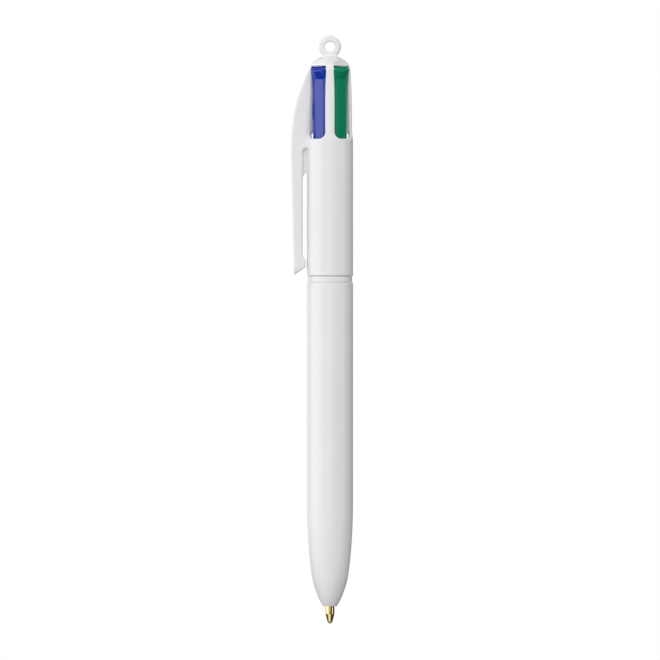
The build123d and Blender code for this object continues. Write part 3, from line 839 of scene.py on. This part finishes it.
for c in COLOURS:
    foot = middle(f"{c}_refill_point")
    bottom = low(f"{c}_ball")
    seat = [
        (SEAT_RADIUS * math.sin(turn), BALL_RADIUS + SEAT_RADIUS * math.cos(turn))
        for turn in np.linspace(math.radians(100), math.radians(40), 8)
    ]
    outline = [(radius, height + bottom) for radius, height in rounded(*POINT_OUTLINE) + seat]
    point = turned(f"{c}_point", outline[::-1], centre=tuple(foot), segments=96)
    dress(point, brass, "point_brass", f"{c}_point", f"{c}_refill_point")
    ball_outline = [
        (max(0.0, BALL_RADIUS * math.cos(turn)), bottom + BALL_RADIUS * (1 + math.sin(turn)))
        for turn in np.linspace(-math.pi / 2, math.pi / 2, 33)
    ]
    ball = turned(
        f"{c}_writing_ball", ball_outline, centre=tuple(foot), segments=48, sharp_angle=None
    )
    dress(ball, ball_steel, "ball_steel", f"{c}_ball", f"{c}_ball")

# ---- CAD nodes that stay -----------------------------------------------------------------

for node in ("latch_core", "spring_retainer"):
    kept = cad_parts[node]
    kept.data.materials.clear()
    kept.data.materials.append(inner_plastic)

# ---- Floor, light and camera -------------------------------------------------------------

FLOOR_HEIGHT, FLOOR_HALF_WIDTH = -0.3, 1.5
CAMERA_DISTANCE = 4.0
VIEW_WIDTH = 0.1675
VIEW_CENTRE = Vector((0, 0, -0.0719))
SOFT_BOXES = [  # name, azimuth, elevation, distance, width, height, radiance
    ("side_softbox", 74, 0, 0.5, 0.72, 0.25, 2.15),
    ("back_left_softbox", 145, 0, 0.6, 0.35, 0.2, 1.1),
    ("front_softbox", 9, 0, 0.8, 0.5, 0.2, 1.6),
    ("front_top_softbox", 8, 44, 0.7, 0.7, 0.5, 2.3),
    ("right_top_softbox", -60, 42, 0.7, 0.5, 0.4, 1.6),
    ("right_strip", -66, 0, 0.6, 0.18, 0.25, 2.0),
    ("left_top_softbox", 115, 44, 0.6, 0.4, 0.35, 2.0),
    ("front_low_softbox", 22, -46, 0.25, 0.32, 0.15, 0.95),
]


def make_floor():
    """A pale plain floor under the hanging pen."""
    mesh = bpy.data.meshes.new("studio_floor")
    half = FLOOR_HALF_WIDTH
    corners = [(-half, -half), (half, -half), (half, half), (-half, half)]
    mesh.from_pydata([(x, y, FLOOR_HEIGHT) for x, y in corners], [], [(0, 1, 2, 3)])
    floor = bpy.data.objects.new("studio_floor", mesh)
    bpy.context.scene.collection.objects.link(floor)
    finish = Finish("studio_floor_paper")
    grain = finish.noise(40)
    finish.link(
        finish.mix(finish.span(grain, 0, 1), (0.86, 0.86, 0.86), (0.9, 0.9, 0.9)),
        finish.shader.inputs["Base Color"],
    )
    finish.set(Roughness=0.8, Emission_Color=(1, 1, 1, 1), Emission_Strength=0.45)
    mesh.materials.append(finish.material)
    floor.visible_glossy = False
    floor.visible_diffuse = False


def soft_box(name, azimuth, elevation, distance, width, height, radiance):
    """A rectangular light that faces the pen; azimuth 0 is the camera's side, 90 the left."""
    light = bpy.data.lights.new(name, "AREA")
    light.shape = "RECTANGLE"
    light.size, light.size_y = width, height
    light.energy = radiance * math.pi * width * height
    lamp = bpy.data.objects.new(name, light)
    turn, rise = math.radians(azimuth), math.radians(elevation)
    level = math.cos(rise)
    away = Vector((-math.sin(turn) * level, -math.cos(turn) * level, math.sin(rise)))
    lamp.location = VIEW_CENTRE + away * distance
    lamp.rotation_mode = "QUATERNION"
    lamp.rotation_quaternion = away.to_track_quat("Z", "Y")
    lamp.visible_camera = False
    bpy.context.scene.collection.objects.link(lamp)


def make_world():
    """A white surround behind the pen, and an even grey one for what it lights."""
    world = bpy.data.worlds.new("studio")
    bpy.context.scene.world = world
    world.use_nodes = True
    tree = world.node_tree
    tree.nodes.clear()
    seen = tree.nodes.new("ShaderNodeBackground")
    seen.inputs["Color"].default_value = (1, 1, 1, 1)
    lit = tree.nodes.new("ShaderNodeBackground")
    lit.inputs["Color"].default_value = (0.22, 0.22, 0.225, 1)
    mirrored = tree.nodes.new("ShaderNodeBackground")
    mirrored.inputs["Color"].default_value = (0.05, 0.05, 0.052, 1)
    path = tree.nodes.new("ShaderNodeLightPath")
    output = tree.nodes.new("ShaderNodeOutputWorld")
    surround = lit
    for ray, shader in (("Is Glossy Ray", mirrored), ("Is Camera Ray", seen)):
        mix = tree.nodes.new("ShaderNodeMixShader")
        tree.links.new(path.outputs[ray], mix.inputs[0])
        tree.links.new(surround.outputs[0], mix.inputs[1])
        tree.links.new(shader.outputs[0], mix.inputs[2])
        surround = mix
    tree.links.new(surround.outputs[0], output.inputs["Surface"])


def make_camera():
    """A distant camera with a long lens, square to the pen."""
    lens = bpy.data.cameras.new("camera")
    camera = bpy.data.objects.new("camera", lens)
    bpy.context.scene.collection.objects.link(camera)
    camera.location = VIEW_CENTRE - Vector((0, CAMERA_DISTANCE, 0))
    camera.rotation_euler = (math.pi / 2, 0, 0)
    lens.sensor_width = 36.0
    lens.lens = lens.sensor_width * CAMERA_DISTANCE / VIEW_WIDTH
    lens.clip_start, lens.clip_end = 0.1, 20.0
    bpy.context.scene.camera = camera


make_floor()
make_world()
make_camera()
for settings in SOFT_BOXES:
    soft_box(*settings)
bpy.context.scene.view_settings.view_transform = "Standard"
